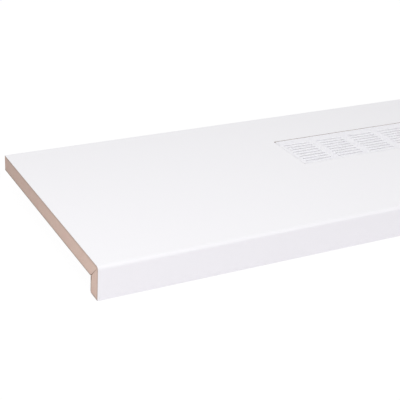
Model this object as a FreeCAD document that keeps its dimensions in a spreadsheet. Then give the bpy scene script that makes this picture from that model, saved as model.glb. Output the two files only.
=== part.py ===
"""Interior window sill board of white faced MDF, with a folded front apron and a ventilation grille let into it.

Frame: millimetres, +X along the board, +Y towards the window, +Z up. The origin is at the middle of the
bounding box, at the height of the apron's lower edge.
Each body is drawn from the left front lower corner of the board, and its Placement moves it to the origin.
"""
import FreeCAD, Part
import math
import os
import Sketcher

V = FreeCAD.Vector
UP = V(0, 0, 1)
QUARTER = math.pi / 2

# Driving dimensions
SIZES = {
    # the board
    "board_length": 1200.0,
    "board_depth": 300.0,
    "board_thickness": 20.0,
    "apron_height": 40.0,
    "apron_thickness": 19.0,
    "mitre_gap": 1.0,
    "apron_easing": 3.0,
    "facing_thickness": 0.8,
    "facing_bevel": 0.4,
    "fold_radius": 4.0,
    # the ventilation grille, a flat plate that lies level with the board's face
    "grille_length": 510.0,
    "grille_depth": 75.0,
    "grille_from_front": 146.4,
    "grille_thickness": 3.0,
    "grille_corner_radius": 4.5,
    "grille_clearance": 0.1,
    "grille_rear_gap": 0.9,
    # its slots, as many as fit between the borders
    "slot_length": 40.0,
    "slot_width": 2.0,
    "slot_pitch": 7.25,
    "bridge_width": 10.8,
    "front_border": 7.3,
    "least_rear_border": 14.0,
    "least_end_border": 5.0,
    # the recess and the vent that are routed in the board for the grille
    "router_radius": 1.5,
    "ledge_width": 5.0,
    "vent_corner_radius": 6.0,
}

doc = FreeCAD.newDocument("window_sill_board")
sheet = doc.addObject("Spreadsheet::Sheet", "Sizes")
for row, (name, value) in enumerate(SIZES.items(), start=1):
    sheet.set(f"A{row}", name)
    sheet.set(f"B{row}", str(value))
    sheet.setAlias(f"B{row}", name)
doc.recompute()

# Sizes that follow from the sheet, as expressions
UNDERSIDE = "(Sizes.apron_height - Sizes.board_thickness)"
CORE_TOP = "(Sizes.apron_height - Sizes.facing_thickness)"
GRILLE_LEFT = "((Sizes.board_length - Sizes.grille_length) / 2)"
LEDGE = "(Sizes.apron_height - Sizes.grille_thickness)"
SLOT_STEP = "(Sizes.slot_length + Sizes.bridge_width)"
ROOM_ALONG = "(Sizes.grille_length - 2 * Sizes.least_end_border - Sizes.slot_length)"
ROOM_BACK = "(Sizes.grille_depth - Sizes.front_border - Sizes.least_rear_border - Sizes.slot_width)"
STEPS_ALONG = f"floor({ROOM_ALONG} / {SLOT_STEP})"
STEPS_BACK = f"floor({ROOM_BACK} / Sizes.slot_pitch)"
# The hole that the grille lies in: left, front, length, depth and corner radius
GRILLE_SEAT = (
    f"({GRILLE_LEFT} - Sizes.grille_clearance)",
    "(Sizes.grille_from_front - Sizes.grille_clearance)",
    "(Sizes.grille_length + 2 * Sizes.grille_clearance)",
    "(Sizes.grille_depth + Sizes.grille_clearance + Sizes.grille_rear_gap)",
    "Sizes.router_radius",
)


def new_body(label):
    """A body drawn from the board's left front lower corner and placed about the middle of the board."""
    body = doc.addObject("PartDesign::Body", label)
    body.Label = label
    body.setExpression(".Placement.Base.x", "-Sizes.board_length / 2")
    body.setExpression(".Placement.Base.y", "-Sizes.board_depth / 2")
    return body


def new_sketch(body, name, plane, height="0"):
    """A sketch on one of the body's own planes, raised along the plane's normal by an expression."""
    sketch = body.newObject("Sketcher::SketchObject", name)
    support = [feature for feature in body.Origin.OriginFeatures if feature.Role == plane][0]
    sketch.AttachmentSupport = (support, [""])
    sketch.MapMode = "FlatFace"
    sketch.setExpression(".AttachmentOffset.Base.z", height)
    return sketch


def pin(sketch, line, end, across, up):
    """Hold the end of a line at two expressions, measured from the sketch's origin."""
    for kind, expression in (("DistanceX", across), ("DistanceY", up)):
        if expression == "0":
            other_axis = -2 if kind == "DistanceX" else -1
            sketch.addConstraint(Sketcher.Constraint("PointOnObject", line, end, other_axis))
            continue
        point = sketch.getPoint(line, end)
        guess = point.x if kind == "DistanceX" else point.y
        index = sketch.addConstraint(Sketcher.Constraint(kind, -1, 1, line, end, guess))
        sketch.setExpression(f"Constraints[{index}]", expression)


def value_of(sketch, expression):
    """The present value of an expression, in millimetres, for the first place of a point."""
    return float(sketch.evalExpression(expression))


def polygon(sketch, corners):
    """A closed outline of straight lines through corners that are given as pairs of expressions."""
    points = [V(value_of(sketch, across), value_of(sketch, up), 0) for across, up in corners]
    for index, point in enumerate(points):
        sketch.addGeometry(Part.LineSegment(point, points[(index + 1) % len(points)]), False)
    for index in range(len(points)):
        sketch.addConstraint(Sketcher.Constraint("Coincident", index, 2, (index + 1) % len(points), 1))
    for index, (across, up) in enumerate(corners):
        pin(sketch, index, 1, across, up)


def rounded_rectangle(sketch, left, front, length, depth, radius):
    """A rectangle with four equal corner arcs; place, size and radius are expressions."""
    x0, y0 = value_of(sketch, left), value_of(sketch, front)
    x1, y1 = x0 + value_of(sketch, length), y0 + value_of(sketch, depth)
    r = value_of(sketch, radius)
    lines = [
        (V(x0 + r, y0, 0), V(x1 - r, y0, 0)),
        (V(x1, y0 + r, 0), V(x1, y1 - r, 0)),
        (V(x1 - r, y1, 0), V(x0 + r, y1, 0)),
        (V(x0, y1 - r, 0), V(x0, y0 + r, 0)),
    ]
    centres = [V(x1 - r, y0 + r, 0), V(x1 - r, y1 - r, 0), V(x0 + r, y1 - r, 0), V(x0 + r, y0 + r, 0)]
    for start, end in lines:
        sketch.addGeometry(Part.LineSegment(start, end), False)
    for turn, centre in enumerate(centres):
        circle = Part.Circle(centre, UP, r)
        sketch.addGeometry(Part.ArcOfCircle(circle, (turn - 1) * QUARTER, turn * QUARTER), False)
    for turn in range(4):
        sketch.addConstraint(Sketcher.Constraint("Tangent", turn, 2, 4 + turn, 1))
        sketch.addConstraint(Sketcher.Constraint("Tangent", 4 + turn, 2, (turn + 1) % 4, 1))
    for line, direction in enumerate(("Horizontal", "Vertical", "Horizontal", "Vertical")):
        sketch.addConstraint(Sketcher.Constraint(direction, line))
    for turn in range(3):
        sketch.addConstraint(Sketcher.Constraint("Equal", 4 + turn, 5 + turn))
    index = sketch.addConstraint(Sketcher.Constraint("Radius", 4, r))
    sketch.setExpression(f"Constraints[{index}]", radius)
    held = (
        ("DistanceX", 3, 1, left),
        ("DistanceY", 0, 1, front),
        ("DistanceX", 1, 1, f"{left} + {length}"),
        ("DistanceY", 2, 1, f"{front} + {depth}"),
    )
    for kind, line, end, expression in held:
        point = sketch.getPoint(line, end)
        guess = point.x if kind == "DistanceX" else point.y
        index = sketch.addConstraint(Sketcher.Constraint(kind, -1, 1, line, end, guess))
        sketch.setExpression(f"Constraints[{index}]", expression)


def round_ended_slot(sketch, left, front, length, width):
    """A slot along the board with half round ends; place, overall length and width are expressions."""
    x0, y0 = value_of(sketch, left), value_of(sketch, front)
    x1, y1 = x0 + value_of(sketch, length), y0 + value_of(sketch, width)
    r = (y1 - y0) / 2
    sketch.addGeometry(Part.LineSegment(V(x0 + r, y0, 0), V(x1 - r, y0, 0)), False)
    sketch.addGeometry(Part.LineSegment(V(x1 - r, y1, 0), V(x0 + r, y1, 0)), False)
    right_end = Part.Circle(V(x1 - r, y0 + r, 0), UP, r)
    left_end = Part.Circle(V(x0 + r, y0 + r, 0), UP, r)
    sketch.addGeometry(Part.ArcOfCircle(right_end, -QUARTER, QUARTER), False)
    sketch.addGeometry(Part.ArcOfCircle(left_end, QUARTER, 3 * QUARTER), False)
    for first, second in ((0, 2), (2, 1), (1, 3), (3, 0)):
        sketch.addConstraint(Sketcher.Constraint("Tangent", first, 2, second, 1))
    sketch.addConstraint(Sketcher.Constraint("Horizontal", 0))
    sketch.addConstraint(Sketcher.Constraint("Equal", 2, 3))
    index = sketch.addConstraint(Sketcher.Constraint("Radius", 2, r))
    sketch.setExpression(f"Constraints[{index}]", f"{width} / 2")
    pin(sketch, 0, 1, f"{left} + {width} / 2", front)
    index = sketch.addConstraint(Sketcher.Constraint("DistanceX", 0, 1, 0, 2, x1 - x0 - 2 * r))
    sketch.setExpression(f"Constraints[{index}]", f"{length} - {width}")


def corner_round(sketch):
    """The waste outside the round of the core's front top corner: two short lines and the arc between them."""
    core_front, core_top = "Sizes.facing_thickness", CORE_TOP
    radius = "(Sizes.fold_radius - Sizes.facing_thickness)"
    y0, z1, r = value_of(sketch, core_front), value_of(sketch, core_top), value_of(sketch, radius)
    circle = Part.Circle(V(y0 + r, z1 - r, 0), UP, r)
    sketch.addGeometry(Part.LineSegment(V(y0 + r, z1, 0), V(y0, z1, 0)), False)
    sketch.addGeometry(Part.LineSegment(V(y0, z1, 0), V(y0, z1 - r, 0)), False)
    sketch.addGeometry(Part.ArcOfCircle(circle, QUARTER, 2 * QUARTER), False)
    sketch.addConstraint(Sketcher.Constraint("Coincident", 0, 2, 1, 1))
    sketch.addConstraint(Sketcher.Constraint("Tangent", 0, 1, 2, 1))
    sketch.addConstraint(Sketcher.Constraint("Tangent", 1, 2, 2, 2))
    sketch.addConstraint(Sketcher.Constraint("Horizontal", 0))
    sketch.addConstraint(Sketcher.Constraint("Vertical", 1))
    index = sketch.addConstraint(Sketcher.Constraint("Radius", 2, r))
    sketch.setExpression(f"Constraints[{index}]", radius)
    pin(sketch, 1, 1, core_front, core_top)


def pad(body, sketch, name, length):
    """A pad of a sketch along its plane's normal."""
    feature = body.newObject("PartDesign::Pad", name)
    feature.Profile = sketch
    feature.setExpression("Length", length)
    return feature


def pocket(body, sketch, name, depth, reversed_cut=False):
    """A cut of a sketch against its plane's normal, or along it when it is reversed."""
    feature = body.newObject("PartDesign::Pocket", name)
    feature.Profile = sketch
    feature.setExpression("Length", depth)
    feature.Reversed = reversed_cut
    return feature


def round_front_corner(body):
    """Take the sharp front top corner off the core, all along the board."""
    sketch = new_sketch(body, f"{body.Name}_corner_outline", "YZ_Plane")
    corner_round(sketch)
    pocket(body, sketch, f"{body.Name}_corner", "Sizes.board_length", reversed_cut=True)


def make_panel():
    """The flat MDF board: mitred front edge, a ledged recess for the grille and the vent below it.

    The mitre closes at the fold and stands open by the mitre gap at the inside corner.
    """
    body = new_body("sill_panel")
    section = new_sketch(body, "panel_section", "YZ_Plane")
    polygon(section, [
        ("(Sizes.apron_thickness + Sizes.mitre_gap)", UNDERSIDE),
        ("Sizes.board_depth", UNDERSIDE),
        ("Sizes.board_depth", CORE_TOP),
        ("Sizes.facing_thickness", CORE_TOP),
    ])
    pad(body, section, "panel_board", "Sizes.board_length")
    round_front_corner(body)
    recess = new_sketch(body, "recess_outline", "XY_Plane", CORE_TOP)
    rounded_rectangle(recess, *GRILLE_SEAT)
    pocket(body, recess, "grille_recess", f"{CORE_TOP} - {LEDGE}")
    vent = new_sketch(body, "vent_outline", "XY_Plane", LEDGE)
    rounded_rectangle(
        vent,
        f"({GRILLE_LEFT} + Sizes.ledge_width)",
        "(Sizes.grille_from_front + Sizes.ledge_width)",
        "(Sizes.grille_length - 2 * Sizes.ledge_width)",
        "(Sizes.grille_depth - 2 * Sizes.ledge_width)",
        "Sizes.vent_corner_radius",
    )
    pocket(body, vent, "vent", f"{LEDGE} - {UNDERSIDE}")
    return body


def lower_back_edge(shape):
    """The name of the edge that runs along a strip at its lowest level, on the side away from the front."""
    touch = 1e-6
    whole = shape.BoundBox
    for index, edge in enumerate(shape.Edges, start=1):
        box = edge.BoundBox
        low = box.ZMax - whole.ZMin < touch
        back = whole.YMax - box.YMin < touch
        if low and back and box.XLength > whole.XLength / 2:
            return f"Edge{index}"
    raise RuntimeError("no lower back edge")


def make_apron():
    """The strip of MDF that is folded down along the front, with its lower back edge eased."""
    body = new_body("front_apron")
    section = new_sketch(body, "apron_section", "YZ_Plane")
    polygon(section, [
        ("Sizes.facing_thickness", "0"),
        ("Sizes.apron_thickness", "0"),
        ("Sizes.apron_thickness", UNDERSIDE),
        ("Sizes.facing_thickness", CORE_TOP),
    ])
    pad(body, section, "apron_strip", "Sizes.board_length")
    round_front_corner(body)
    doc.recompute()
    strip = body.Tip
    easing = body.newObject("PartDesign::Fillet", "apron_easing")
    easing.Base = (strip, [lower_back_edge(strip.Shape)])
    easing.setExpression("Radius", "Sizes.apron_easing")
    return body


def facing_section(sketch):
    """The facing's section: down the apron, round the fold and over the board, one thickness through.

    Its lower front corner is bevelled, as laminate is trimmed.
    """
    skin, bevel, fold = "Sizes.facing_thickness", "Sizes.facing_bevel", "Sizes.fold_radius"
    rear, top, core_top = "Sizes.board_depth", "Sizes.apron_height", CORE_TOP
    below_fold = "(Sizes.apron_height - Sizes.fold_radius)"
    keys = (skin, bevel, fold, rear, top, core_top, below_fold)
    at = {key: value_of(sketch, key) for key in keys}
    centre = V(at[fold], at[below_fold], 0)
    outer = Part.Circle(centre, UP, at[fold])
    inner = Part.Circle(centre, UP, at[fold] - at[skin])
    points = [
        V(0, at[below_fold], 0), V(0, at[bevel], 0), V(at[bevel], 0, 0), V(at[skin], 0, 0),
        V(at[skin], at[below_fold], 0), V(at[fold], at[core_top], 0), V(at[rear], at[core_top], 0),
        V(at[rear], at[top], 0), V(at[fold], at[top], 0),
    ]
    for start, end in ((0, 1), (1, 2), (2, 3), (3, 4), (5, 6), (6, 7), (7, 8)):
        sketch.addGeometry(Part.LineSegment(points[start], points[end]), False)
    front, slope, foot, back, under, edge, over, inner_arc, outer_arc = range(9)
    sketch.addGeometry(Part.ArcOfCircle(inner, QUARTER, 2 * QUARTER), False)
    sketch.addGeometry(Part.ArcOfCircle(outer, QUARTER, 2 * QUARTER), False)
    for first, second in ((front, slope), (slope, foot), (foot, back), (under, edge), (edge, over)):
        sketch.addConstraint(Sketcher.Constraint("Coincident", first, 2, second, 1))
    sketch.addConstraint(Sketcher.Constraint("Tangent", back, 2, inner_arc, 2))
    sketch.addConstraint(Sketcher.Constraint("Tangent", under, 1, inner_arc, 1))
    sketch.addConstraint(Sketcher.Constraint("Tangent", over, 2, outer_arc, 1))
    sketch.addConstraint(Sketcher.Constraint("Tangent", front, 1, outer_arc, 2))
    sketch.addConstraint(Sketcher.Constraint("Coincident", inner_arc, 3, outer_arc, 3))
    for line in (foot, under, over):
        sketch.addConstraint(Sketcher.Constraint("Horizontal", line))
    for line in (front, back, edge):
        sketch.addConstraint(Sketcher.Constraint("Vertical", line))
    for arc, radius, guess in ((outer_arc, fold, at[fold]), (inner_arc, f"{fold} - {skin}", at[fold] - at[skin])):
        index = sketch.addConstraint(Sketcher.Constraint("Radius", arc, guess))
        sketch.setExpression(f"Constraints[{index}]", radius)
    pin(sketch, slope, 1, "0", bevel)
    pin(sketch, slope, 2, bevel, "0")
    pin(sketch, edge, 2, rear, top)


def make_facing():
    """The white facing, one sheet that is bent over the fold, with the opening for the grille."""
    body = new_body("white_facing")
    section = new_sketch(body, "facing_section", "YZ_Plane")
    facing_section(section)
    pad(body, section, "facing_sheet", "Sizes.board_length")
    opening = new_sketch(body, "opening_outline", "XY_Plane", "Sizes.apron_height")
    rounded_rectangle(opening, *GRILLE_SEAT)
    pocket(body, opening, "grille_opening", "Sizes.facing_thickness")
    return body


def make_grille():
    """The plastic grille: one slotted plate on the ledge, with a narrow gap left at its window side."""
    body = new_body("vent_grille")
    outline = new_sketch(body, "grille_outline", "XY_Plane", LEDGE)
    rounded_rectangle(
        outline,
        GRILLE_LEFT,
        "Sizes.grille_from_front",
        "Sizes.grille_length",
        "Sizes.grille_depth",
        "Sizes.grille_corner_radius",
    )
    pad(body, outline, "grille_plate", "Sizes.grille_thickness")
    slot = new_sketch(body, "slot_outline", "XY_Plane", "Sizes.apron_height")
    field_length = f"({STEPS_ALONG} * {SLOT_STEP} + Sizes.slot_length)"
    round_ended_slot(
        slot,
        f"((Sizes.board_length - {field_length}) / 2)",
        "(Sizes.grille_from_front + Sizes.front_border)",
        "Sizes.slot_length",
        "Sizes.slot_width",
    )
    first_slot = pocket(body, slot, "first_slot", "Sizes.grille_thickness")
    doc.recompute()
    pattern = body.newObject("PartDesign::MultiTransform", "slot_pattern")
    pattern.Originals = [first_slot]
    spreads = (
        ("along", "H_Axis", STEPS_ALONG, SLOT_STEP),
        ("back", "V_Axis", STEPS_BACK, "Sizes.slot_pitch"),
    )
    steps = []
    for name, axis, count, pitch in spreads:
        step = body.newObject("PartDesign::LinearPattern", f"slots_{name}")
        step.Direction = (slot, [axis])
        step.setExpression("Occurrences", f"{count} + 1")
        step.setExpression("Length", f"{count} * {pitch}")
        steps.append(step)
    pattern.Transformations = steps
    body.Tip = pattern
    return body


pieces = [make_panel(), make_apron(), make_facing(), make_grille()]
doc.recompute()

failed = [item.Name for item in doc.Objects if {"Invalid", "Error"} & set(item.State)]
if failed:
    raise RuntimeError(f"not built: {failed}")
os.makedirs("parts", exist_ok=True)
for piece in pieces:
    shape = piece.Shape
    if shape.isNull() or not shape.isValid():
        raise RuntimeError(f"bad shape: {piece.Label}")
    box = shape.BoundBox
    print(f"{piece.Label}: {len(shape.Solids)} solid, {shape.Volume / 1000:.1f} cm3, "
          f"{box.XLength:.1f} x {box.YLength:.1f} x {box.ZLength:.1f} mm, z from {box.ZMin:.2f}")
    shape.exportStep(f"parts/{piece.Label}.step")
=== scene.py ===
"""A white window sill board of faced fibreboard, with a folded front apron and a slotted grille in its top.

The lesson starts from the solids of the board, measures them, and then gives each visible surface its
real form and finish: the thin facing that bends over the front, the moulded grille with its eighty slots,
and the sawn fibreboard that shows at the ends. Lengths are in metres, +X runs along the board, +Y to the
window and +Z up.
"""

# %% [markdown]
# ## The board as it is built
# A window sill board of this kind is made flat. A sheet of fibreboard with a white facing is cut nearly
# through from behind, and the front strip is folded down to make the apron. The solids of the board are
# loaded first. Everything that follows is measured from them, so the surfaces land exactly where the
# solids are.

# %% Load the solids
import math

import bmesh
import bpy
import numpy as np
from mathutils import Matrix, Vector


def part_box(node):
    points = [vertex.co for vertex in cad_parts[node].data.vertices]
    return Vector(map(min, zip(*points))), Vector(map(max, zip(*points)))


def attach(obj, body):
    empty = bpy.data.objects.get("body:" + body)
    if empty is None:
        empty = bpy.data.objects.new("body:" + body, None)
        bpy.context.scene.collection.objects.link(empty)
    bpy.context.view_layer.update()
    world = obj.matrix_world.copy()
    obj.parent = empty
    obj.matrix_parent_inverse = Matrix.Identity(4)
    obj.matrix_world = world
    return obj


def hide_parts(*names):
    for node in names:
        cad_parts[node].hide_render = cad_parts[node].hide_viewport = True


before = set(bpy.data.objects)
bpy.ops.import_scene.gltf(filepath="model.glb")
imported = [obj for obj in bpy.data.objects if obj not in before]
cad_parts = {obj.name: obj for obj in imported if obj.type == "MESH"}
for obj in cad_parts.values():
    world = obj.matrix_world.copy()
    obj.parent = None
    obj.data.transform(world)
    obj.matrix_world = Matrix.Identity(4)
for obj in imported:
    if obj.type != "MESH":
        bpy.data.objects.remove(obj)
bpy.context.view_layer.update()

MM = 0.001

# %% [markdown]
# ## Measuring the frame
# Each size that can be read from a solid is read, and not typed again. The facing gives the outside of the
# board, the panel gives the height of its own top and underside, the apron gives its front and back, and
# the grille gives the box that it fills.

# %% Read the sizes from the solids
facing_low, facing_high = (np.array(corner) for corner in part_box("white_facing"))
panel_low, panel_high = (np.array(corner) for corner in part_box("sill_panel"))
apron_low, apron_high = (np.array(corner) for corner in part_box("front_apron"))
grille_low, grille_high = (np.array(corner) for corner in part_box("vent_grille"))
top = facing_high[2]
underside = panel_low[2]
facing_thickness = top - panel_high[2]
apron_back = apron_high[1]
print(f"facing {facing_thickness / MM:.2f} mm and board {(top - underside) / MM:.1f} mm thick")
print(f"apron {top / MM:.1f} mm high")

# %% [markdown]
# ## Surfaces from arrays
# A smooth piece is easiest to describe as rings: closed lines of points that all have the same count, laid
# one after the other. The faces between two rings follow from counting alone, so one helper serves every
# piece. Each list of faces runs the same way round, so that every face looks outwards. Where two parts of
# a piece meet, both bring the same points, and joining the doubled points closes the seam.

# %% From rings to a mesh
JOIN_DISTANCE = 0.002 * MM


def ring_faces(rings, around, closed=True):
    """Faces of a grid of points, row by row: each joins a point, the next in its ring, and the two beyond.

    Where the ring is closed, its last point is joined to its first.
    """
    row = np.arange(rings - 1)[:, None] * around
    column = np.arange(around if closed else around - 1)[None, :]
    beside = (column + 1) % around
    quads = np.stack([row + column, row + beside, row + around + beside, row + around + column], axis=-1)
    return quads.reshape(-1, 4)


def mesh_piece(name, points, faces):
    """A mesh object from rows of points and rows of four point numbers, with the doubled points joined."""
    mesh = bpy.data.meshes.new(name)
    mesh.vertices.add(len(points))
    mesh.vertices.foreach_set("co", points.astype(np.float32).ravel())
    mesh.loops.add(faces.size)
    mesh.loops.foreach_set("vertex_index", faces.astype(np.int32).ravel())
    mesh.polygons.add(len(faces))
    mesh.polygons.foreach_set("loop_start", np.arange(len(faces), dtype=np.int32) * faces.shape[1])
    mesh.update(calc_edges=True)
    shape = bmesh.new()
    shape.from_mesh(mesh)
    bmesh.ops.remove_doubles(shape, verts=shape.verts, dist=JOIN_DISTANCE)
    shape.to_mesh(mesh)
    shape.free()
    mesh.polygons.foreach_set("use_smooth", np.ones(len(mesh.polygons), dtype=bool))
    piece = bpy.data.objects.new(name, mesh)
    bpy.context.scene.collection.objects.link(piece)
    return piece


two_rings = ring_faces(2, 4)
print("two rings of four points are joined by", len(two_rings), "faces, the last", two_rings[-1].tolist())

# %% [markdown]
# ## Flat faces and small rounds
# Smooth shading notes at each corner which way the surface looks, and blends this over the faces. A large
# flat face beside a small round would then look bent. Weighting each corner's direction by the size of the
# faces that meet there keeps the flats flat. The second helper counts what a maker would look for: a
# closed piece has no open edge, and the volume inside tells whether its faces look outwards, because it is
# negative where they don't.

# %% Helpers for the finished pieces
FLAT_FACE_WEIGHT = 80
CUBIC_CENTIMETRE = (10 * MM) ** 3


def keep_flats_flat(piece):
    """Corner normals that follow the large flat faces, so that only the small rounds look round."""
    weights = piece.modifiers.new("face_weights", "WEIGHTED_NORMAL")
    weights.weight = FLAT_FACE_WEIGHT
    weights.keep_sharp = True


def print_measures(piece):
    """Print the piece's faces, its open edges and the volume inside it, with the modifiers applied.

    An edge is open unless it joins exactly two faces.
    """
    shape = bmesh.new()
    shape.from_object(piece, bpy.context.evaluated_depsgraph_get())
    open_edges = sum(len(edge.link_faces) != 2 for edge in shape.edges)
    volume = shape.calc_volume(signed=True) / CUBIC_CENTIMETRE
    counts = f"{len(shape.faces)} faces, {open_edges} open edges"
    print(f"{piece.name}: {counts}, {volume:.1f} cubic centimetres")
    shape.free()


print("large flat faces weigh", FLAT_FACE_WEIGHT, "of 100 in the direction of a corner")

# %% [markdown]
# ## Loops with round corners
# The opening that is routed for the grille is a rectangle, and the router's bit leaves its corners round.
# Such a loop is four arcs joined by straight sides. The corner's centre stands one radius in from both
# sides, and each point of the arc is that centre plus the radius times the cosine and the sine.

# %% A rectangle with round corners
def rounded_loop(low, high, radius, steps):
    """Each corner's centre plus the radius times the cosine and the sine of the angle.

    The front right corner comes first, and the loop runs against the clock, a quarter turn at each corner.
    """
    quarter = np.linspace(-math.pi / 2, 0, steps + 1)
    angle = np.concatenate([quarter + turn * math.pi / 2 for turn in range(4)])
    (x0, y0), (x1, y1) = low + radius, high - radius
    centre_x = np.repeat([x1, x1, x0, x0], steps + 1)
    centre_y = np.repeat([y0, y1, y1, y0], steps + 1)
    return np.stack([centre_x + radius * np.cos(angle), centre_y + radius * np.sin(angle)], axis=-1)


rounded_square = rounded_loop(np.zeros(2), np.ones(2), 0.1, 4)
print("a square with its corners rounded in four steps has", len(rounded_square), "points")

# %% [markdown]
# ## The facing
# On the real board the facing is one sheet of laminate, less than a millimetre thick, that covers the top,
# bends over the front and runs down the apron. A thick box with its edges beveled could stand for it, but
# the fold is the line that catches the light, and it needs the true arc of a bent sheet. So the sheet is
# drawn first as a surface without thickness. Its flat part is a ring of faces from the opening out to the
# edges of the board. The grille fits closely on three sides of the opening, and along the window side a
# narrow gap stays open.

# %% The flat part of the facing, around the opening
FOLD_RADIUS = 4.0 * MM
FLAT_BESIDE_FOLD = 1.0 * MM
OPENING_GAP = 0.1 * MM
REAR_GAP = 0.9 * MM
OPENING_RADIUS = 1.5 * MM
CORNER_STEPS = 8

opening_low = grille_low[:2] - OPENING_GAP
opening_high = grille_high[:2] + np.array([OPENING_GAP, REAR_GAP])
flat_low = np.array([facing_low[0], facing_low[1] + FOLD_RADIUS + FLAT_BESIDE_FOLD])
flat_high = facing_high[:2]


def spread_corner(start, corner, end, steps):
    """Points from a start to a corner and on to an end, half of the steps on each of the two sides."""
    share = np.linspace(0, 1, steps // 2 + 1)[:, None]
    return np.concatenate([start + (corner - start) * share, (corner + (end - corner) * share)[1:]])


def facing_rings():
    """The opening's loop and, point for point, the loop of the board's edges that it is joined to.

    Beside each arc of the opening the outer loop turns one square corner. It starts straight beside the
    arc's first point and ends straight beside its last.
    """
    inner = rounded_loop(opening_low, opening_high, OPENING_RADIUS, CORNER_STEPS)
    arcs = inner.reshape(4, CORNER_STEPS + 1, 2)
    (x0, y0), (x1, y1) = flat_low, flat_high
    outer = []
    for turn, corner in enumerate([(x1, y0), (x1, y1), (x0, y1), (x0, y0)]):
        first, last = arcs[turn, 0], arcs[turn, -1]
        along_first = turn % 2 == 0
        start = (first[0], corner[1]) if along_first else (corner[0], first[1])
        end = (corner[0], last[1]) if along_first else (last[0], corner[1])
        outer.append(spread_corner(np.array(start), np.array(corner), np.array(end), CORNER_STEPS))
    return inner, np.concatenate(outer)


inner_loop, outer_loop = facing_rings()
flat_points = np.concatenate([inner_loop, outer_loop])
flat_points = np.column_stack([flat_points, np.full(len(flat_points), top)])
flat_faces = ring_faces(2, len(inner_loop))
print("the flat part has", len(flat_faces), "faces")

# %% [markdown]
# ## The fold
# The bend is a quarter circle between two narrow flats, and the apron's straight face goes on below it.
# Moved along the board, this section makes a strip. The strip starts on the same points as the flat part
# ends on, so that the two become one sheet. The narrow flats keep the wide faces away from the arc.

# %% The fold and the apron's face, carried along the board
ARC_STEPS = 20


def fold_profile():
    """The section in Y and Z: flat, then a quarter circle about the fold's centre, then straight down."""
    angle = np.linspace(math.pi / 2, math.pi, ARC_STEPS + 1)
    centre = np.array([facing_low[1] + FOLD_RADIUS, top - FOLD_RADIUS])
    arc = centre + FOLD_RADIUS * np.stack([np.cos(angle), np.sin(angle)], axis=-1)
    start = [[flat_low[1], top]]
    below = [[facing_low[1], centre[1] - FLAT_BESIDE_FOLD], [facing_low[1], facing_low[2]]]
    return np.concatenate([start, arc, below])


along = np.sort(outer_loop[np.isclose(outer_loop[:, 1], flat_low[1]), 0])
profile = fold_profile()
strip = np.empty((len(profile), len(along), 3))
strip[:, :, 0] = along[None, :]
strip[:, :, 1:] = profile[:, None, :]
strip_faces = ring_faces(len(profile), len(along), closed=False)

# The rings run so that their faces look down, and reading each face backwards turns it up
sheet_points = np.concatenate([flat_points, strip.reshape(-1, 3)])
sheet_faces = np.concatenate([flat_faces, strip_faces + len(flat_points)])[:, ::-1]
laminate = mesh_piece("laminate_facing", sheet_points, sheet_faces)
print("the fold has", ARC_STEPS, "steps, and the sheet", len(sheet_faces), "faces")

# %% [markdown]
# ## From a surface to a sheet
# Solidify gives the sheet its thickness inwards, and so keeps its outside where the solid's outside is.
# The edges of real laminate are trimmed after it is glued on, which takes off their sharpness. A very
# small bevel does that here, on every edge that is sharper than the steps of the fold.

# %% Give the sheet its thickness and its trimmed edges
TRIM_WIDTH = 0.12 * MM
TRIM_STEPS = 2
TRIM_FROM_ANGLE = math.radians(50)

thickness = laminate.modifiers.new("thickness", "SOLIDIFY")
thickness.thickness = facing_thickness
thickness.offset = -1
thickness.use_even_offset = True
trim = laminate.modifiers.new("trimmed_edges", "BEVEL")
trim.width = TRIM_WIDTH
trim.segments = TRIM_STEPS
trim.limit_method = "ANGLE"
trim.angle_limit = TRIM_FROM_ANGLE
keep_flats_flat(laminate)
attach(laminate, "root")
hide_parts("white_facing")
print_measures(laminate)

# %% [markdown]
# ## The grille
# The grille is one moulded plate that lies in the board, level with its face, with ten blocks of eight
# slots. Slots could be cut out of a plate with booleans, but every edge of a moulding is slightly round,
# and those small rounds carry the light along the slots. So the plate is divided into eighty equal cells,
# each with one slot. The slot's two round ends and the cell's two ends get the same count of points, so
# that rings can join them.

# %% Sizes of the grille
SLOT_ROWS = 8
SLOT_COLUMNS = 10
SLOT_LENGTH = 40.0 * MM
SLOT_WIDTH = 2.0 * MM
SLOT_PITCH = 7.25 * MM
BRIDGE = 10.8 * MM
FRONT_BORDER = 7.3 * MM
GRILLE_CORNER = 4.5 * MM
EDGE_ROUND = 0.5 * MM
END_STEPS = 8
RUN_POINTS = 2

plate_top = grille_high[2]
plate_bottom = grille_low[2]
cell = np.array([SLOT_LENGTH + BRIDGE, SLOT_PITCH])
field_half = cell * np.array([SLOT_COLUMNS, SLOT_ROWS]) / 2
first_row = grille_low[1] + FRONT_BORDER + SLOT_WIDTH / 2
field_middle = np.array([(grille_low[0] + grille_high[0]) / 2, first_row - cell[1] / 2 + field_half[1]])
reach = (SLOT_LENGTH - SLOT_WIDTH) / 2

# At each end of a cell RUN_POINTS lie on either long side, and the others go up the short side
cell_rise = np.linspace(-cell[1] / 2, cell[1] / 2, END_STEPS + 1 - 2 * RUN_POINTS)
cell_run = np.linspace(reach, cell[0] / 2, RUN_POINTS + 1)
print(f"the slots fill {2 * field_half[0] / MM:.1f} by {2 * field_half[1] / MM:.1f} mm of the plate")

# %% [markdown]
# ## One slot
# One slot with its share of the plate is a stack of rings: the cell's border on the plate's top, the round
# of the slot's upper edge, the wall of the slot, the round of its lower edge, and the cell's border on the
# underside.

# %% One cell of the plate, from its border down through the slot
SLOT_ROUND_STEPS = 3


def slot_loop(outside):
    """A slot with round ends, grown by a distance: two half circles, joined by straight sides."""
    angle = np.linspace(-math.pi / 2, math.pi / 2, END_STEPS + 1)
    radius = SLOT_WIDTH / 2 + outside
    right = np.stack([reach + radius * np.cos(angle), radius * np.sin(angle)], axis=-1)
    return np.concatenate([right, -right])


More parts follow.
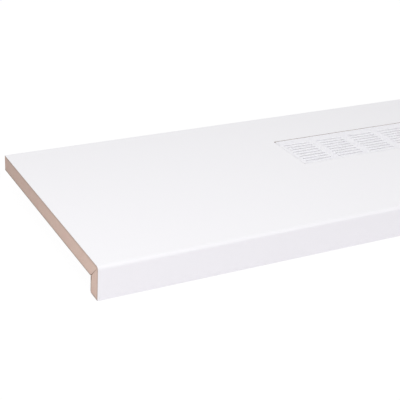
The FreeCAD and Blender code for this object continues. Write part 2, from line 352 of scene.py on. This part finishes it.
def cell_loop():
    """The border of a cell, point for point beside the slot: out along one side, up the end and back."""
    out, back = cell_run[:-1], cell_run[-2::-1]
    end_x = np.concatenate([out, np.full(len(cell_rise), cell_run[-1]), back])
    end_y = np.concatenate([np.full(len(out), cell_rise[0]), cell_rise, np.full(len(back), cell_rise[-1])])
    right = np.stack([end_x, end_y], axis=-1)
    return np.concatenate([right, -right])


def rounded_edge(steps):
    """The round of an edge, step by step: how far it stands out and how deep it lies.

    These are the radius times one less the sine of the angle, and times one less its cosine.
    """
    turn = np.linspace(0, math.pi / 2, steps + 1)
    return np.stack([EDGE_ROUND * (1 - np.sin(turn)), EDGE_ROUND * (1 - np.cos(turn))], axis=-1)


def cell_rings():
    """The rings of a cell: its border, the slot's upper round, its lower round, and the border again."""
    edge = rounded_edge(SLOT_ROUND_STEPS)
    rings = [(cell_loop(), plate_top)]
    rings += [(slot_loop(outside), plate_top - drop) for outside, drop in edge]
    rings += [(slot_loop(outside), plate_bottom + drop) for outside, drop in edge[::-1]]
    rings += [(cell_loop(), plate_bottom)]
    return np.stack([np.column_stack([loop, np.full(len(loop), height)]) for loop, height in rings])


one_cell = cell_rings()
print("one cell has", one_cell.shape[0], "rings of", one_cell.shape[1], "points")

# %% [markdown]
# ## Eighty slots from one
# The other cells are copies of the first, moved by whole steps along the board and across it. As arrays
# that is one sum: the points of one cell plus eighty offsets. The faces are copied too, with their point
# numbers moved on by the count of points in a cell.

# %% Eighty cells from one
column_x = (np.arange(SLOT_COLUMNS) - (SLOT_COLUMNS - 1) / 2) * cell[0]
row_y = (np.arange(SLOT_ROWS) - (SLOT_ROWS - 1) / 2) * cell[1]
centre_x, centre_y = np.meshgrid(column_x + field_middle[0], row_y + field_middle[1])
centres = np.stack([centre_x.ravel(), centre_y.ravel(), np.zeros(centre_x.size)], axis=-1)
cell_points = (one_cell[None] + centres[:, None, None, :]).reshape(-1, 3)
first_point = np.arange(len(centres)) * one_cell[..., 0].size
cell_faces = ring_faces(one_cell.shape[0], one_cell.shape[1])
cell_faces = (cell_faces[None] + first_point[:, None, None]).reshape(-1, 4)
print(len(centres), "slots,", len(cell_faces), "faces")

# %% [markdown]
# ## The border of the grille
# Around the field of cells the plate runs on to its outer edge, which is eased at the top and goes
# straight down. The border is again a stack of rings. To close against the cells, its inner ring needs a
# point for each point on the edge of the field, and where the field has a corner, that corner is repeated
# for the whole arc. Neighbouring cells share their marks along the edge, so each mark is kept once.

# %% Loops round the field
OUTER_STEPS = 6
MARK_DECIMALS = 9


def marks_along(centres_of_cells, marks_of_cell):
    """The marks of all cells along one side of the field, each once and without the field's two corners.

    Rounding to so many decimals of a metre makes the shared marks of two neighbours agree.
    """
    marks = centres_of_cells[:, None] + marks_of_cell[None, :]
    return np.unique(np.round(marks, MARK_DECIMALS))[1:-1]


run_marks = marks_along(column_x, np.concatenate([-cell_run, cell_run]))
rise_marks = marks_along(row_y, cell_rise)


def around_field(low, high, radius):
    """A loop with the given corners and corner radius, with the field's own marks along its straight sides.

    A corner's arc is the radius times the sine along one side, and times one less the cosine along the
    other. A mark that would lie beyond the start of an arc is moved back to it.
    """
    angle = np.linspace(0, math.pi / 2, OUTER_STEPS + 1)
    arc = radius * np.stack([np.sin(angle), 1 - np.cos(angle)], axis=-1)
    (x0, y0), (x1, y1) = low, high
    runs = np.clip(run_marks, x0 + radius, x1 - radius)
    rises = np.clip(rise_marks, y0 + radius, y1 - radius)
    return np.concatenate([
        np.column_stack([runs, np.full(len(runs), y0)]),
        np.array([x1 - radius, y0]) + arc,
        np.column_stack([np.full(len(rises), x1), rises]),
        np.array([x1 - radius, y1]) + (arc * [1, -1])[::-1],
        np.column_stack([runs, np.full(len(runs), y1)])[::-1],
        np.array([x0 + radius, y1]) - arc,
        np.column_stack([np.full(len(rises), x0), rises])[::-1],
        np.array([x0 + radius, y0]) + (arc * [-1, 1])[::-1],
    ])


print("a loop round the field has", len(around_field(-field_half, field_half, 0.0)), "points")

# %% [markdown]
# ## The whole plate
# The border's section is flat on the top, eased at the edge and then straight down to the underside. Its
# rings start and end on the edge of the field, where the joined points close the plate to one solid skin.

# %% The border's section, carried round the field
BORDER_ROUND_STEPS = 4


def border_rings():
    """The border from the field outwards: the flat top, the eased edge, the outer wall, the underside."""
    low, high = grille_low[:2] - field_middle, grille_high[:2] - field_middle
    field = around_field(-field_half, field_half, 0.0)
    loops = [(field, plate_top)]
    for inset, drop in rounded_edge(BORDER_ROUND_STEPS):
        loops.append((around_field(low + inset, high - inset, GRILLE_CORNER - inset), plate_top - drop))
    loops += [(around_field(low, high, GRILLE_CORNER), plate_bottom), (field, plate_bottom)]
    return np.stack([np.column_stack([loop + field_middle, np.full(len(loop), z)]) for loop, z in loops])


# The border runs outwards where the cells run inwards, so its faces are read backwards
border = border_rings()
border_faces = ring_faces(border.shape[0], border.shape[1])[:, ::-1]
grille_points = np.concatenate([cell_points, border.reshape(-1, 3)])
grille_faces = np.concatenate([cell_faces, border_faces + len(cell_points)])
grille = mesh_piece("slotted_grille", grille_points, grille_faces)
keep_flats_flat(grille)
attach(grille, "root")
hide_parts("vent_grille")
print_measures(grille)

# %% [markdown]
# ## Finishes
# A finish is a small tree of nodes. Every pattern reads the piece's own coordinates, turned from metres
# into millimetres, so that a grain of half a millimetre is written as half a millimetre. The pattern then
# belongs to the piece: it stays in place from every side, and it runs through a corner as real grain does.

# %% A new finish and its patterns
def stretched(tree, vector, scale):
    """The coordinates multiplied by a scale for each axis."""
    mapping = tree.nodes.new("ShaderNodeMapping")
    mapping.inputs["Scale"].default_value = scale
    tree.links.new(vector, mapping.inputs["Vector"])
    return mapping.outputs["Vector"]


def new_finish(name):
    """A material, its node tree, its principled shader, and the piece's own coordinates in millimetres."""
    material = bpy.data.materials.new(name)
    material.use_nodes = True
    tree = material.node_tree
    metres = tree.nodes.new("ShaderNodeTexCoord").outputs["Object"]
    return material, tree, tree.nodes["Principled BSDF"], stretched(tree, metres, (1 / MM, 1 / MM, 1 / MM))


def noise(tree, vector, scale, detail, roughness=0.5):
    """A noise from 0 to 1, with about as many grains to a unit of length as the scale says."""
    node = tree.nodes.new("ShaderNodeTexNoise")
    node.inputs["Scale"].default_value = scale
    node.inputs["Detail"].default_value = detail
    node.inputs["Roughness"].default_value = roughness
    tree.links.new(vector, node.inputs["Vector"])
    return node.outputs["Fac"]


def raised(tree, shader, height, distance):
    """A bump on a shader, where a height of one stands for the given distance in metres."""
    node = tree.nodes.new("ShaderNodeBump")
    node.inputs["Distance"].default_value = distance
    tree.links.new(height, node.inputs["Height"])
    tree.links.new(node.outputs["Normal"], shader.inputs["Normal"])


def paint(piece, material):
    """Give a piece one material, in place of all that it had."""
    piece.data.materials.clear()
    piece.data.materials.append(material)


print("a finish reads a metre as", round(1 / MM))

# %% [markdown]
# ## Sums and colours between nodes
# Layers of a board, the distance from a seam and the depth in a sheet are all plain sums on coordinates.
# These helpers write such sums as nodes, so that a finish reads like its formula. Colours are noted as
# they would show on a screen, and turned into the linear values of light that shaders mix.

# %% Helpers for sums and colours
MIX_SHARE, MIX_FIRST_COLOUR, MIX_SECOND_COLOUR, MIX_COLOUR_RESULT = 0, 6, 7, 2


def set_or_link(tree, socket, value):
    """Feed a socket from another node's output, or set it to a plain value."""
    if isinstance(value, bpy.types.NodeSocket):
        tree.links.new(value, socket)
    else:
        socket.default_value = value


def combined(tree, operation, *values):
    """The result of a sum, product or other operation on numbers or on the outputs of nodes."""
    node = tree.nodes.new("ShaderNodeMath")
    node.operation = operation
    for socket, value in zip(node.inputs, values):
        set_or_link(tree, socket, value)
    return node.outputs["Value"]


def fitted(tree, value, low, high, to_low=0.0, to_high=1.0):
    """A value moved from the range between low and high to a new range, and held inside it."""
    node = tree.nodes.new("ShaderNodeMapRange")
    for name, number in (("From Min", low), ("From Max", high), ("To Min", to_low), ("To Max", to_high)):
        node.inputs[name].default_value = number
    tree.links.new(value, node.inputs["Value"])
    return node.outputs["Result"]


def axis_of(tree, vector, axis):
    """One of the three coordinates as a number."""
    node = tree.nodes.new("ShaderNodeSeparateXYZ")
    tree.links.new(vector, node.inputs["Vector"])
    return node.outputs[axis]


def blended(tree, share, colour_a, colour_b):
    """Two colours mixed by a share: none of it gives the first colour and all of it the second.

    The node has sockets of one name for numbers and for colours, so these are taken by their places.
    """
    node = tree.nodes.new("ShaderNodeMix")
    node.data_type = "RGBA"
    set_or_link(tree, node.inputs[MIX_SHARE], share)
    set_or_link(tree, node.inputs[MIX_FIRST_COLOUR], colour_a)
    set_or_link(tree, node.inputs[MIX_SECOND_COLOUR], colour_b)
    return node.outputs[MIX_COLOUR_RESULT]


def from_screen(red, green, blue):
    """A colour given as screen values from 0 to 255, turned into the linear values that a shader takes.

    By the rule for screens, a very small share of full is divided by 12.92. To any other 0.055 is added,
    and the sum is divided by 1.055 and raised to the power 2.4.
    """
    share = np.array([red, green, blue]) / 255
    linear = np.where(share <= 0.04045, share / 12.92, ((share + 0.055) / 1.055) ** 2.4)
    return (*linear.tolist(), 1.0)


print("a screen's middle grey of 128 is", round(from_screen(128, 128, 128)[0], 3), "of full light")

# %% [markdown]
# ## Fibreboard
# Medium density fibreboard is pressed from fine wood fibre. The press packs the faces harder than the
# core, so a sawn edge is darker and smoother near both faces and paler and more open in the middle, where
# patches have a rosy tone. The fibres lie flat, which draws short streaks along the edge. A photograph of
# an edge could be wrapped on, but a few noises give the same layers on a board of any size, without a
# seam. Each pattern is a noise whose middle values are stretched to the least and the most that it may
# give.

# %% Colours and patterns of the fibreboard
CORE_COLOUR = from_screen(214, 191, 178)
ROSY_COLOUR = from_screen(214, 184, 174)
DENSE_COLOUR = from_screen(186, 164, 150)
FIBRE_COLOUR = from_screen(188, 160, 142)
DARK_EDGE_COLOUR = from_screen(142, 132, 128)
GLUE_AND_SHADE_COLOUR = from_screen(118, 92, 74)
BLACK = (0, 0, 0, 1)

# Grains to a millimetre, detail, then the noise's values for the least and the most, then these two
PATTERNS = {
    "wander_mm": (0.25, 3.0, 0.3, 0.7, -0.3, 0.3),
    "dark_edge_marks": (0.3, 3.0, 0.35, 0.65, 0.4, 1.0),
    "rosy_patches": (0.08, 2.0, 0.5, 0.68, 0.0, 0.6),
    "clouds": (0.045, 2.0, 0.35, 0.75, 0.0, 0.35),
}


def pattern(tree, place, name):
    """One of the patterns of the table: its noise, fitted to the least and the most that it gives."""
    grains, detail, *limits = PATTERNS[name]
    return fitted(tree, noise(tree, place, grains, detail), *limits)


grain_sizes = {name: round(1 / row[0], 1) for name, row in PATTERNS.items()}
print("fibreboard patterns, with the size of a grain in millimetres:", grain_sizes)

# %% [markdown]
# ## The glue in the mitre, and painted shade at its corner
# Where the apron is folded down, its mitred edge is glued to the panel's. At the sawn end the glue shows
# as a thin dark line along the mitre. The line is strong at the inner corner, where the mitre stands open a
# little, and fades towards the fold. Its extra darkness at that corner is painted shade, and so is an
# upright spot in the opening. A groove in the mesh would be finer than the eye can see from here, so the
# line is
# part of the colour: its share falls with the distance from the seam.

# %% The seam and the painted shade at its corner, in millimetres
MITRE_GAP = 1.0
SEAM_SOLID, SEAM_GONE = 0.2, 1.0
FADE_START, FADE_END = 0.5, 9.0
SEAM_AT_CORNER, SEAM_AT_FOLD = 0.75, 0.22
# Painted shade in the open inner corner of the mitre: its place, its size and its share
CORNER_SHADE_BEFORE, CORNER_SHADE_BELOW = 1.5, 1.8
CORNER_SHADE_SOLID, CORNER_SHADE_GONE, CORNER_SHADE_SHARE = 1.0, 1.8, 0.7
CORNER_SHADE_WIDTH_TO_HEIGHT = 0.6
INNER_CORNER = np.array([apron_back / MM + MITRE_GAP / 2, underside / MM])
OUTER_CORNER = np.array([apron_low[1] / MM, panel_high[2] / MM])
ALONG_Y, ALONG_Z = np.array([1, 0]), np.array([0, 1])


def from_corner(tree, place, direction):
    """How far a point of the section lies from the inner corner, along a direction in Y and Z.

    It is the point's Y and Z times those of the direction, summed, less the same sum for the corner.
    """
    start = -float(direction @ INNER_CORNER)
    part = combined(tree, "MULTIPLY_ADD", axis_of(tree, place, "Y"), float(direction[0]), start)
    return combined(tree, "MULTIPLY_ADD", axis_of(tree, place, "Z"), float(direction[1]), part)


def glue_and_corner_shade(tree, place):
    """Glue and painted shade: the larger of the seam's share, by the distance beside it, and the corner
    spot's.
    """
    run = (OUTER_CORNER - INNER_CORNER) / np.hypot(*(OUTER_CORNER - INNER_CORNER))
    beside = combined(tree, "ABSOLUTE", from_corner(tree, place, np.array([-run[1], run[0]])))
    line = fitted(tree, beside, SEAM_SOLID, SEAM_GONE, 1.0, 0.0)
    fade = fitted(tree, from_corner(tree, place, run), FADE_START, FADE_END, SEAM_AT_CORNER, SEAM_AT_FOLD)
    seam = combined(tree, "MULTIPLY", line, fade)
    # An upright spot of painted shade, where the mitre stands open at the inner corner
    across = combined(tree, "ADD", from_corner(tree, place, ALONG_Y), CORNER_SHADE_BEFORE)
    under = combined(tree, "ADD", from_corner(tree, place, ALONG_Z), CORNER_SHADE_BELOW)
    across, under = combined(tree, "ABSOLUTE", across), combined(tree, "ABSOLUTE", under)
    away = combined(tree, "MAXIMUM", across, combined(tree, "MULTIPLY", under, CORNER_SHADE_WIDTH_TO_HEIGHT))
    return combined(tree, "MAXIMUM", seam, fitted(tree, away, CORNER_SHADE_SOLID, CORNER_SHADE_GONE, CORNER_SHADE_SHARE, 0.0))


print("in Y and Z the mitre runs from", INNER_CORNER.round(1), "to", OUTER_CORNER.round(1))

# %% [markdown]
# ## The layers of the board
# Two layers lie over the tone of the core. The imported layer follows both pressed faces, at a depth that
# wanders a little. The second is a darker line along the face that no facing covers and along the lower
# edge. It shows only where the board is sawn, so its share is held to the cut edges, and the wide underside
# keeps the colour of the imported layer.

# %% Layers by depth, in millimetres
DENSE_FROM, DENSE_TO = 0.5, 2.6
DARK_EDGE_FULL, DARK_EDGE_SHARE = 0.4, 0.9
CUT_FROM, CUT_FULL = -0.4, -0.1


def packed_layer(tree, place, across, low, high):
    """One at the pressed faces and none in the core, by the depth below the nearer face.

    That depth is half the thickness, less the distance from the middle, less the wander.
    """
    from_middle = combined(tree, "ABSOLUTE", combined(tree, "SUBTRACT", across, (low + high) / 2))
    from_face = combined(tree, "SUBTRACT", (high - low) / 2, from_middle)
    depth = combined(tree, "SUBTRACT", from_face, pattern(tree, place, "wander_mm"))
    return fitted(tree, depth, DENSE_FROM, DENSE_TO, 1.0, 0.0)


def at_a_cut(tree, place):
    """One on the two sawn ends and the rear edge, none elsewhere: the larger of the reaches past them."""
    from_middle = combined(tree, "ABSOLUTE", axis_of(tree, place, "X"))
    ends = combined(tree, "SUBTRACT", from_middle, panel_high[0] / MM)
    rear = combined(tree, "SUBTRACT", axis_of(tree, place, "Y"), panel_high[1] / MM)
    return fitted(tree, combined(tree, "MAXIMUM", ends, rear), CUT_FROM, CUT_FULL)


def dark_edge_line(tree, place, across, bare_face, edge_depth):
    """The share of the darker edge line, in marks and at a cut: by the depth from the bare face or the
    lower edge.
    """
    from_bare = combined(tree, "ABSOLUTE", combined(tree, "SUBTRACT", across, bare_face))
    from_bare = combined(tree, "MINIMUM", from_bare, axis_of(tree, place, "Z"))
    edge_share = fitted(tree, from_bare, DARK_EDGE_FULL, edge_depth, DARK_EDGE_SHARE, 0.0)
    edge_at_cut = combined(tree, "MULTIPLY", edge_share, at_a_cut(tree, place))
    return combined(tree, "MULTIPLY", edge_at_cut, pattern(tree, place, "dark_edge_marks"))


print(f"packed layers {DENSE_TO} mm deep in a panel of {(panel_high[2] - underside) / MM:.1f} mm")

# %% [markdown]
# ## The sawn board
# The finish lays these parts one over the other: core, packed layer, fibres, clouds, the darker edge line,
# glue with the painted shade at the mitre's corner, and one slow painted shade over all of it, which
# darkens the sawn end from the front to the rear, where it gets less light. The fibres also rise a little,
# which makes the cut matt and slightly rough. Panel and apron are the same board, but the apron stands on
# edge, so its layers and streaks are turned.

# %% Sawn fibreboard
# Grains of fibre to a millimetre along X, Y and Z, fewest where the streaks are long
PANEL_STREAKS = (1.6, 0.55, 2.4)
APRON_STREAKS = (1.6, 2.4, 0.55)
PANEL_DARK_EDGE, APRON_DARK_EDGE = 1.6, 2.8
FIBRE_DETAIL, FIBRE_ROUGHNESS = 5.0, 0.62
FIBRE_FROM, FIBRE_FULL = 0.42, 0.66
FIBRE_SHARE = 0.45
# A slow painted shade: between these two places in Y, in millimetres, the sawn end is mixed with black by
# these shares
PAINTED_SHADE_FROM_Y, PAINTED_SHADE_TO_Y = -120, 140
PAINTED_SHADE_AT_FRONT, PAINTED_SHADE_AT_REAR = 0.04, 0.19
SAWN_ROUGHNESS, SAWN_SHINE = 0.9, 0.25
FIBRE_RELIEF = 0.12 * MM


def fibreboard(name, axis, faces, bare_face, edge_depth, streaks):
    """A sawn fibreboard whose pressed faces stand at two places in millimetres along the given axis."""
    material, tree, shader, place = new_finish(name)
    across = axis_of(tree, place, axis)
    core = blended(tree, pattern(tree, place, "rosy_patches"), CORE_COLOUR, ROSY_COLOUR)
    tone = blended(tree, packed_layer(tree, place, across, *faces), core, DENSE_COLOUR)
    darker = blended(tree, FIBRE_SHARE, tone, FIBRE_COLOUR)
    fibres = noise(tree, stretched(tree, place, streaks), 1.0, FIBRE_DETAIL, FIBRE_ROUGHNESS)
    tone = blended(tree, fitted(tree, fibres, FIBRE_FROM, FIBRE_FULL), tone, darker)
    tone = blended(tree, pattern(tree, place, "clouds"), tone, darker)
    # A darker line along the bare face and the lower edge, only at the cut edges
    tone = blended(tree, dark_edge_line(tree, place, across, bare_face, edge_depth), tone, DARK_EDGE_COLOUR)
    # Glue along the mitre, darkened further by painted shade at its open inner corner
    tone = blended(tree, glue_and_corner_shade(tree, place), tone, GLUE_AND_SHADE_COLOUR)
    # Painted shade: the tone goes towards black from the front to the rear, where the end gets less light
    y = axis_of(tree, place, "Y")
    tone = blended(tree, fitted(tree, y, PAINTED_SHADE_FROM_Y, PAINTED_SHADE_TO_Y, PAINTED_SHADE_AT_FRONT, PAINTED_SHADE_AT_REAR), tone, BLACK)
    tree.links.new(tone, shader.inputs["Base Color"])
    shader.inputs["Roughness"].default_value = SAWN_ROUGHNESS
    shader.inputs["Specular IOR Level"].default_value = SAWN_SHINE
    raised(tree, shader, fibres, FIBRE_RELIEF)
    return material


panel_faces = underside / MM, panel_high[2] / MM
apron_faces = apron_low[1] / MM, apron_back / MM
panel_board = fibreboard("fibreboard_panel", "Z", panel_faces, panel_faces[0], PANEL_DARK_EDGE, PANEL_STREAKS)
apron_board = fibreboard("fibreboard_apron", "Y", apron_faces, apron_faces[1], APRON_DARK_EDGE, APRON_STREAKS)
paint(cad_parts["sill_panel"], panel_board)
paint(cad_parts["front_apron"], apron_board)
print("sawn fibreboard has", len(panel_board.node_tree.nodes), "nodes")

# %% [markdown]
# ## White laminate and white plastic
# Both whites are satin. A plain matt colour would look like chalk, and a clear gloss like glass. A satin
# white is mostly a matt colour under a thin clear surface, which adds a wide and weak shine. A sheet
# pressed on a board keeps a very slight waviness, some thousandths of a millimetre high, and so does a
# moulding. Light enters the plastic and comes out a little farther on, which softens its slots.

# %% A satin white
WHITE_IOR = 1.48
WAVE_DETAIL = 2.0
WAVE_HEIGHT = 0.004 * MM


def satin_white(name, colour, roughness, waves_per_mm, seep=0.0):
    """A white with a soft shine and a slight waviness, in which light spreads to a depth in metres."""
    material, tree, shader, place = new_finish(name)
    shader.inputs["Base Color"].default_value = colour
    shader.inputs["Roughness"].default_value = roughness
    shader.inputs["IOR"].default_value = WHITE_IOR
    shader.inputs["Subsurface Weight"].default_value = 1.0 if seep else 0.0
    shader.inputs["Subsurface Radius"].default_value = (1, 1, 1)
    shader.inputs["Subsurface Scale"].default_value = seep
    raised(tree, shader, noise(tree, place, waves_per_mm, WAVE_DETAIL), WAVE_HEIGHT)
    return material, tree, shader, place


print(f"the whites wave by {WAVE_HEIGHT / MM:.3f} mm")

# %% [markdown]
# ## The cut edge of the laminate
# Laminate is brown paper soaked in resin, under a white surface. The white is only a tenth of a millimetre
# deep, and where the sheet is cut, the brown shows as a thin dark line between the white top and the
# fibreboard. The depth of a point in the sheet can be worked out from its place: on the arc it is the
# radius less the distance from the fold's centre line, and on the flats, where only one of the two sides
# counts, the same sum holds.

# %% The two whites
LAMINATE_COLOUR = from_screen(240, 239, 242)
LAMINATE_ROUGHNESS = 0.42
LAMINATE_WAVES = 0.35
BROWN_COLOUR = from_screen(170, 154, 144)
WHITE_DEPTH, BROWN_DEPTH = 0.1, 0.2
PLASTIC_COLOUR = from_screen(238, 237, 242)
PLASTIC_ROUGHNESS = 0.38
PLASTIC_WAVES = 0.2
PLASTIC_SEEP = 2.0 * MM


def depth_in_sheet(tree, place):
    """How deep a point of the sheet lies: the fold's radius less its distance from the fold's centre line.

    The distance is the root of two squares, forwards and upwards of the centre. A side that lies behind
    or below the centre counts none.
    """
    forwards = combined(tree, "SUBTRACT", (facing_low[1] + FOLD_RADIUS) / MM, axis_of(tree, place, "Y"))
    upwards = combined(tree, "SUBTRACT", axis_of(tree, place, "Z"), (top - FOLD_RADIUS) / MM)
    sides = [combined(tree, "MAXIMUM", side, 0.0) for side in (forwards, upwards)]
    squares = [combined(tree, "POWER", side, 2.0) for side in sides]
    distance = combined(tree, "SQRT", combined(tree, "ADD", *squares))
    return combined(tree, "SUBTRACT", FOLD_RADIUS / MM, distance)


def laminate_finish():
    """Satin white, and brown deeper than the thin white layer."""
    material, tree, shader, place = satin_white(
        "laminate_white", LAMINATE_COLOUR, LAMINATE_ROUGHNESS, LAMINATE_WAVES)
    share = fitted(tree, depth_in_sheet(tree, place), WHITE_DEPTH, BROWN_DEPTH)
    tree.links.new(blended(tree, share, LAMINATE_COLOUR, BROWN_COLOUR), shader.inputs["Base Color"])
    return material


def plastic_finish():
    """Satin white, with light that spreads inside it."""
    return satin_white("plastic_white", PLASTIC_COLOUR, PLASTIC_ROUGHNESS, PLASTIC_WAVES, PLASTIC_SEEP)[0]


paint(laminate, laminate_finish())
paint(grille, plastic_finish())
print("whites:", laminate.data.materials[0].name, "and", grille.data.materials[0].name)

# %% [markdown]
# ## The floor
# The board stands on a pale level floor. If the floor were lit until it looked white, the white board
# would be washed out with it. So the floor keeps a plain matt colour for the light that it sends back up
# at the apron, and is mixed with even white wherever the camera looks at it. A small share of the real
# surface is left in the mix, and with it the board's own faint shadow. Gloss and clear material see the
# floor as the camera does.

# %% The floor
FLOOR_SIZE = 30.0
FLOOR_COLOUR = (0.868, 0.848, 0.882, 1)
FLOOR_SHOWN = 0.94
FLOOR_GLOW = 1.03


def level_floor(size):
    """A square of the given size at height zero, with its middle below the middle of the board."""
    half = size / 2
    mesh = bpy.data.meshes.new("floor")
    corners = [(-half, -half, 0), (half, -half, 0), (half, half, 0), (-half, half, 0)]
    mesh.from_pydata(corners, [], [(0, 1, 2, 3)])
    plane = bpy.data.objects.new("floor", mesh)
    bpy.context.scene.collection.objects.link(plane)
    return plane


def shown_plain(tree):
    """One for the rays of the camera and for those that gloss or clear material sends on, else none."""
    path = tree.nodes.new("ShaderNodeLightPath")
    either = combined(tree, "MAXIMUM", path.outputs["Is Camera Ray"], path.outputs["Is Glossy Ray"])
    return combined(tree, "MAXIMUM", either, path.outputs["Is Transmission Ray"])


def mixed_by(tree, share, first, second, output):
    """Two shaders mixed by a share, into the surface of the output."""
    mix = tree.nodes.new("ShaderNodeMixShader")
    for socket, value in zip(mix.inputs, (share, first, second)):
        tree.links.new(value, socket)
    tree.links.new(mix.outputs[0], output.inputs["Surface"])


def floor_finish():
    """A matt pale colour that is mixed with even white wherever the camera looks at it."""
    material, tree, shader, _ = new_finish("pale_floor")
    shader.inputs["Base Color"].default_value = FLOOR_COLOUR
    shader.inputs["Roughness"].default_value = 1.0
    shader.inputs["Specular IOR Level"].default_value = 0.0
    glow = tree.nodes.new("ShaderNodeEmission")
    glow.inputs["Strength"].default_value = FLOOR_GLOW
    share = combined(tree, "MULTIPLY", shown_plain(tree), FLOOR_SHOWN)
    mixed_by(tree, share, shader.outputs[0], glow.outputs[0], tree.nodes["Material Output"])
    return material


floor = level_floor(FLOOR_SIZE)
paint(floor, floor_finish())
print("floor of", FLOOR_SIZE, "m, shown white by", FLOOR_SHOWN)

# %% [markdown]
# ## The lights
# A white board shows its form only by small steps of tone, so the light has to be soft and not too even.
# One square light above the left end makes the top brightest there and lets it fade along the board. One
# at the left lights the sawn end and the fold, and a wider one in front lights the apron. The rest is a
# pale surround. It is weaker as a light than as a backdrop, by the same sorting of rays as on the floor,
# so that white pieces stay below full white against it.

# %% The lights and the surround
LIT_POINT = (-0.35, -0.05, 0.03)
SURROUND_STRENGTH = 0.756
BACKDROP_STRENGTH = 1.0
WHITE = (1, 1, 1, 1)


def soft_light(name, place, size, power):
    """A square light at a place, turned to the lit point: its size in metres and its power in watts."""
    lamp = bpy.data.lights.new(name, "AREA")
    lamp.shape = "SQUARE"
    lamp.size = size
    lamp.energy = power
    light = bpy.data.objects.new(name, lamp)
    light.location = place
    light.rotation_euler = (Vector(LIT_POINT) - Vector(place)).to_track_quat("-Z", "Y").to_euler()
    bpy.context.scene.collection.objects.link(light)


def pale_surround():
    """A white world, which lights the board with one strength and shows itself with another."""
    world = bpy.data.worlds.new("pale_surround")
    world.use_nodes = True
    tree = world.node_tree
    lighting, shown = tree.nodes["Background"], tree.nodes.new("ShaderNodeBackground")
    for background, strength in ((lighting, SURROUND_STRENGTH), (shown, BACKDROP_STRENGTH)):
        background.inputs["Color"].default_value = WHITE
        background.inputs["Strength"].default_value = strength
    mixed_by(tree, shown_plain(tree), lighting.outputs[0], shown.outputs[0], tree.nodes["World Output"])
    return world


soft_light("light_above", place=(-0.53, -0.30, 0.88), size=0.5, power=1.585)
soft_light("light_at_left", place=(-1.13, -0.34, 0.37), size=0.5, power=1.093)
soft_light("light_in_front", place=(0.60, -1.19, 0.63), size=1.2, power=3.04)
bpy.context.scene.world = pale_surround()
print("lights:", sorted(lamp.name for lamp in bpy.data.lights))

# %% [markdown]
# ## The camera
# The picture is taken from in front of the left end and from above, where the sawn end, the apron and the
# grille all show. The camera's three directions follow from its turn about the vertical, its tilt down and
# its small roll: forward is the sine and cosine of the turn times the cosine of the tilt, with minus the
# sine of the tilt as its height. Right lies level, down completes the three, and the roll turns right and
# down about forward.

# %% Place the camera
CAMERA_PLACE = (-0.9554, -0.9802, 0.5613)
TURN = math.radians(29.4316)
TILT = math.radians(25.9893)
ROLL = math.radians(-3.8391)
FOCAL_LENGTH = 91.966
SENSOR_WIDTH = 36.0

forward = Vector((math.sin(TURN) * math.cos(TILT), math.cos(TURN) * math.cos(TILT), -math.sin(TILT)))
level_right = Vector((math.cos(TURN), -math.sin(TURN), 0))
level_down = forward.cross(level_right)
right = math.cos(ROLL) * level_right + math.sin(ROLL) * level_down
down = -math.sin(ROLL) * level_right + math.cos(ROLL) * level_down
turned = Matrix((right, -down, -forward)).transposed().to_4x4()

lens = bpy.data.cameras.new("camera")
lens.sensor_width = SENSOR_WIDTH
lens.sensor_fit = "HORIZONTAL"
lens.lens = FOCAL_LENGTH
camera = bpy.data.objects.new("camera", lens)
camera.matrix_world = Matrix.Translation(CAMERA_PLACE) @ turned
bpy.context.scene.collection.objects.link(camera)
bpy.context.scene.camera = camera
bpy.context.scene.view_settings.view_transform = "Standard"
print("camera looks along", [round(value, 3) for value in forward])

# %% [markdown]
# Last, the scene is brought up to date. The finished surfaces have to stay inside the box of the
# solids.

# %% Finish
bpy.context.view_layer.update()
